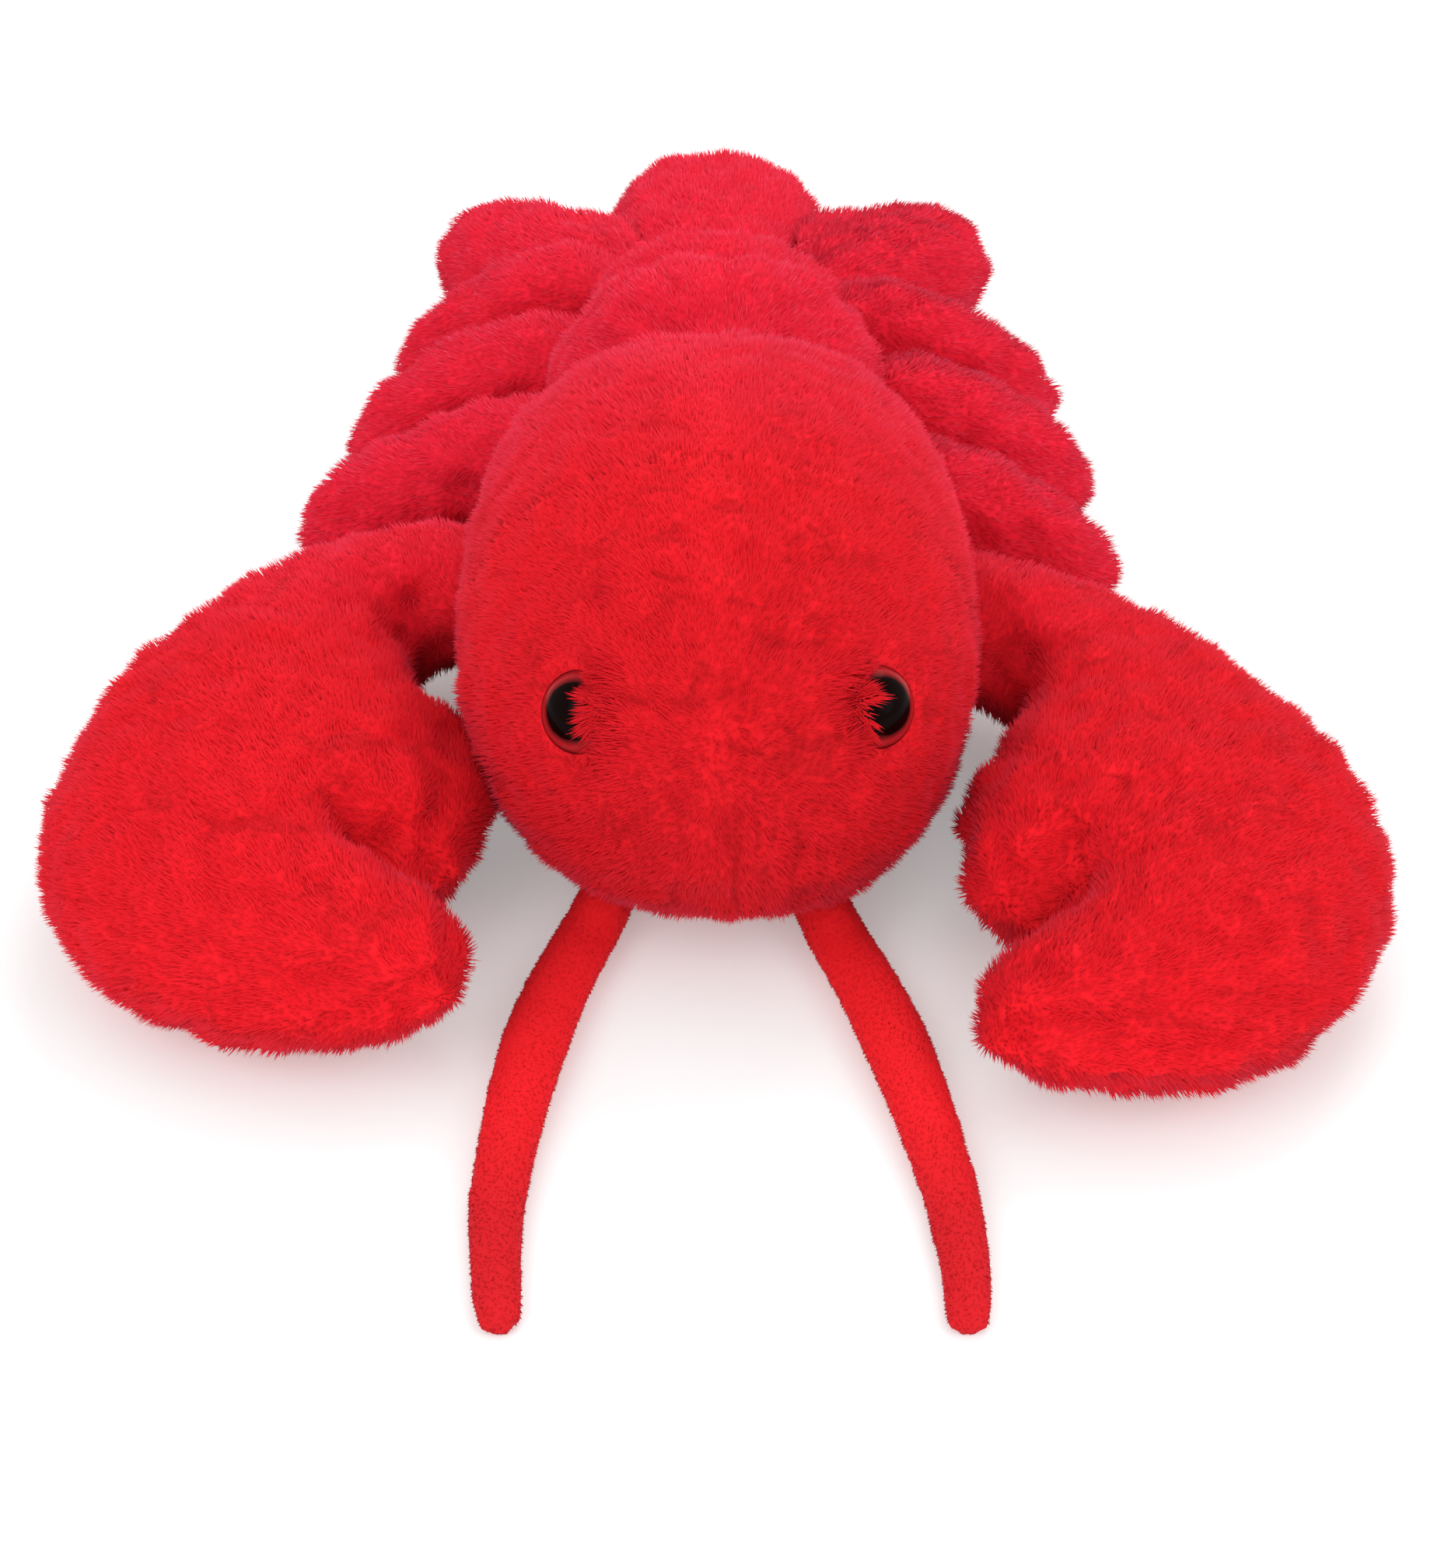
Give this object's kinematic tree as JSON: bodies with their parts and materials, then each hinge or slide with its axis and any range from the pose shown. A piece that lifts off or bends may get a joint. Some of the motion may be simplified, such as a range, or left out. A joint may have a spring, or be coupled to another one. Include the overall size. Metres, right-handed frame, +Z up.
{
  "type": "plush lobster",
  "caption": "Stuffed fur lobster that lies on its belly, with a gathered tail, tail fan, paddle legs, mitten claws, soft antennae and moulded eyes.",
  "frame": {"origin": "on the floor, on the flat belly patch under the carapace's widest place", "axes": "+Z up, -Y towards the head and antennae, +Y towards the tail fan, -X the side named left"},
  "size_m": [0.2511, 0.3769, 0.0837],
  "materials": {
    "fur_red": "short dense pile, bright red",
    "nap_red": "short velvety nap, red",
    "eye_brown": "glossy, dark red-brown ring round a black pupil",
    "washer_white": "plain moulded"
  },
  "bodies": {
    "root": {"body": "fur_red", "claw_left": "fur_red", "claw_right": "fur_red", "leg_left_front": "fur_red", "leg_left_middle": "fur_red", "leg_left_rear": "fur_red", "leg_right_front": "fur_red", "leg_right_middle": "fur_red", "leg_right_rear": "fur_red", "tail_middle": "fur_red", "tail_left_inner": "fur_red", "tail_left_outer": "fur_red", "tail_right_inner": "fur_red", "tail_right_outer": "fur_red", "antenna_left": "nap_red", "antenna_right": "nap_red", "eye_left": "eye_brown", "eye_right": "eye_brown", "eye_washer_left": "washer_white", "eye_washer_right": "washer_white"}
  },
  "joints": []
}
